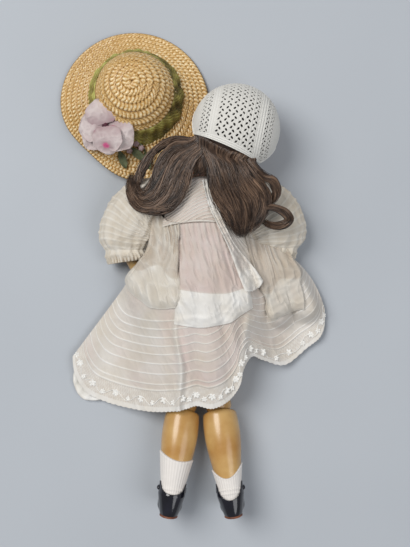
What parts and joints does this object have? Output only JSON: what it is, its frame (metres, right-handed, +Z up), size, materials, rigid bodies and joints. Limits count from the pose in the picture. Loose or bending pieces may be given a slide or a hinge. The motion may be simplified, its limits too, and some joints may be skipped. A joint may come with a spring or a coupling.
{
  "type": "porcelain head doll",
  "caption": "Antique style doll with bisque socket head and strung ball-jointed body, dressed in a tucked dress, bonnet and shoes, lying face down beside its straw hat.",
  "frame": {"origin": "on the table under the middle of the dress front, the face that the doll lies on", "axes": "+Y along the body to the head, +Z up from the table, +X to the doll's right"},
  "size_m": [0.3121, 0.569, 0.1012],
  "materials": {
    "bisque": "matte tinted bisque",
    "cork": "raw cork",
    "hair": "brown mohair",
    "crochet_cotton": "white crochet",
    "eye_glass": "glass eye",
    "wire": "wire and lead",
    "composition": "varnished composition",
    "batiste": "fine cotton",
    "petticoat_cotton": "plain cotton",
    "button_shell": "small white buttons",
    "sock_knit": "ribbed knit",
    "patent_leather": "black patent",
    "sole_leather": "brown leather",
    "elastic": "covered elastic",
    "straw": "sewn straw braid",
    "net_ribbon": "green net",
    "flower_cloth": "cloth petals",
    "leaf_cloth": "dried leaves"
  },
  "bodies": {
    "torso": {"torso": "composition", "dress_front": "batiste", "yoke_back": "batiste", "placket": "batiste", "back_buttons": "button_shell", "tunic_back": "batiste", "skirt_back": "batiste", "skirt_front": "batiste", "petticoat_back": "petticoat_cotton", "petticoat_front": "petticoat_cotton", "arm_elastic": "elastic", "left_leg_elastic": "elastic", "right_leg_elastic": "elastic"},
    "neck_hook": {"neck_hook": "wire"},
    "head": {"bisque_head": "bisque", "pate": "cork", "wig_cap": "hair", "left_lock": "hair", "right_lock": "hair", "bonnet": "crochet_cotton"},
    "eyes": {"left_eye": "eye_glass", "right_eye": "eye_glass", "eye_rocker": "wire"},
    "hat": {"straw_hat": "straw", "hat_band": "net_ribbon", "hat_flower": "flower_cloth", "hat_leaves": "leaf_cloth"},
    "left_shoulder_ball": {"left_shoulder_ball": "composition"},
    "left_upper_arm": {"left_upper_arm": "composition", "left_sleeve": "batiste"},
    "left_elbow_ball": {"left_elbow_ball": "composition"},
    "left_forearm": {"left_forearm": "composition"},
    "left_hand": {"left_hand": "composition", "left_hand_hook": "wire"},
    "left_hip_ball": {"left_hip_ball": "composition"},
    "left_thigh": {"left_thigh": "composition"},
    "left_knee_ball": {"left_knee_ball": "composition"},
    "left_lower_leg": {"left_lower_leg": "composition", "left_leg_hook": "wire", "left_sock": "sock_knit", "left_shoe_upper": "patent_leather", "left_shoe_sole": "sole_leather", "left_shoe_strap": "patent_leather"},
    "right_shoulder_ball": {"right_shoulder_ball": "composition"},
    "right_upper_arm": {"right_upper_arm": "composition", "right_sleeve": "batiste"},
    "right_elbow_ball": {"right_elbow_ball": "composition"},
    "right_forearm": {"right_forearm": "composition"},
    "right_hand": {"right_hand": "composition", "right_hand_hook": "wire"},
    "right_hip_ball": {"right_hip_ball": "composition"},
    "right_thigh": {"right_thigh": "composition"},
    "right_knee_ball": {"right_knee_ball": "composition"},
    "right_lower_leg": {"right_lower_leg": "composition", "right_leg_hook": "wire", "right_sock": "sock_knit", "right_shoe_upper": "patent_leather", "right_shoe_sole": "sole_leather", "right_shoe_strap": "patent_leather"}
  },
  "joints": [
    {"name": "neck_tilt", "type": "hinge", "parent": "torso", "child": "neck_hook", "pos_m": [0, 0.112, 0.034], "axis": [0, 0, 1], "range_deg": [-4, 12], "deforming": ["tunic_back", "skirt_back", "skirt_front", "petticoat_back", "petticoat_front", "yoke_back", "placket", "arm_elastic"]},
    {"name": "head_turn", "type": "hinge", "parent": "neck_hook", "child": "head", "pos_m": [0, 0.112, 0.034], "axis": [0.5818, 0.7721, 0.2554], "range_deg": [-40, 40], "deforming": ["left_lock", "right_lock"]},
    {"name": "eye_roll", "type": "hinge", "parent": "head", "child": "eyes", "pos_m": [0.04398, 0.17036, 0.01969], "axis": [0.7986, -0.6018, 0], "range_deg": [0, 35]},
    {"name": "left_shoulder_swing", "type": "hinge", "parent": "torso", "child": "left_shoulder_ball", "pos_m": [-0.05, 0.092, 0.034], "axis": [1, 0, 0], "range_deg": [0, 60]},
    {"name": "left_shoulder_spread", "type": "hinge", "parent": "left_shoulder_ball", "child": "left_upper_arm", "pos_m": [-0.05, 0.092, 0.034], "axis": [0, 0, -1], "range_deg": [0, 40], "deforming": ["left_sleeve"]},
    {"name": "left_elbow_bend", "type": "hinge", "parent": "left_upper_arm", "child": "left_elbow_ball", "pos_m": [-0.088, 0.036, 0.017], "axis": [-0.2009, -0.1572, 0.9669], "range_deg": [-50, 10]},
    {"name": "left_forearm_turn", "type": "hinge", "parent": "left_elbow_ball", "child": "left_forearm", "pos_m": [-0.088, 0.036, 0.017], "axis": [0.413, -0.9086, -0.062], "range_deg": [-35, 35]},
    {"name": "left_wrist_bend", "type": "hinge", "parent": "left_forearm", "child": "left_hand", "pos_m": [-0.068, -0.008, 0.014], "axis": [-0.9734, -0.229, 0], "range_deg": [-20, 20]},
    {"name": "left_hip_swing", "type": "hinge", "parent": "torso", "child": "left_hip_ball", "pos_m": [-0.022, -0.06, 0.035], "axis": [1, 0, 0], "range_deg": [-5, 60], "deforming": ["left_leg_elastic"]},
    {"name": "left_hip_spread", "type": "hinge", "parent": "left_hip_ball", "child": "left_thigh", "pos_m": [-0.022, -0.06, 0.035], "axis": [0, 0, -1], "range_deg": [0, 12]},
    {"name": "left_knee_bend", "type": "hinge", "parent": "left_thigh", "child": "left_knee_ball", "pos_m": [-0.02, -0.153, 0.023], "axis": [-1, 0, 0], "range_deg": [0, 44]},
    {"name": "left_lower_leg_turn", "type": "hinge", "parent": "left_knee_ball", "child": "left_lower_leg", "pos_m": [-0.02, -0.153, 0.023], "axis": [-0.1349, -0.9723, 0.1908], "range_deg": [-25, 25]},
    {"name": "right_shoulder_swing", "type": "hinge", "parent": "torso", "child": "right_shoulder_ball", "pos_m": [0.05, 0.092, 0.034], "axis": [1, 0, 0], "range_deg": [0, 60]},
    {"name": "right_shoulder_spread", "type": "hinge", "parent": "right_shoulder_ball", "child": "right_upper_arm", "pos_m": [0.05, 0.092, 0.034], "axis": [0, 0, 1], "range_deg": [0, 40], "deforming": ["right_sleeve"]},
    {"name": "right_elbow_bend", "type": "hinge", "parent": "right_upper_arm", "child": "right_elbow_ball", "pos_m": [0.088, 0.036, 0.017], "axis": [-0.2009, 0.1572, -0.9669], "range_deg": [-50, 10]},
    {"name": "right_forearm_turn", "type": "hinge", "parent": "right_elbow_ball", "child": "right_forearm", "pos_m": [0.088, 0.036, 0.017], "axis": [-0.413, -0.9086, -0.062], "range_deg": [-35, 35]},
    {"name": "right_wrist_bend", "type": "hinge", "parent": "right_forearm", "child": "right_hand", "pos_m": [0.068, -0.008, 0.014], "axis": [-0.9734, 0.229, 0], "range_deg": [-20, 20]},
    {"name": "right_hip_swing", "type": "hinge", "parent": "torso", "child": "right_hip_ball", "pos_m": [0.022, -0.06, 0.035], "axis": [1, 0, 0], "range_deg": [-5, 60], "deforming": ["right_leg_elastic"]},
    {"name": "right_hip_spread", "type": "hinge", "parent": "right_hip_ball", "child": "right_thigh", "pos_m": [0.022, -0.06, 0.035], "axis": [0, 0, 1], "range_deg": [0, 12]},
    {"name": "right_knee_bend", "type": "hinge", "parent": "right_thigh", "child": "right_knee_ball", "pos_m": [0.02, -0.153, 0.023], "axis": [-1, 0, 0], "range_deg": [0, 44]},
    {"name": "right_lower_leg_turn", "type": "hinge", "parent": "right_knee_ball", "child": "right_lower_leg", "pos_m": [0.02, -0.153, 0.023], "axis": [0.1349, -0.9723, 0.1908], "range_deg": [-25, 25]},
    {"name": "hat_slide", "type": "slide", "parent": "torso", "child": "hat", "axis": [-1, 0, 0], "range_m": [0, 0.12]}
  ]
}
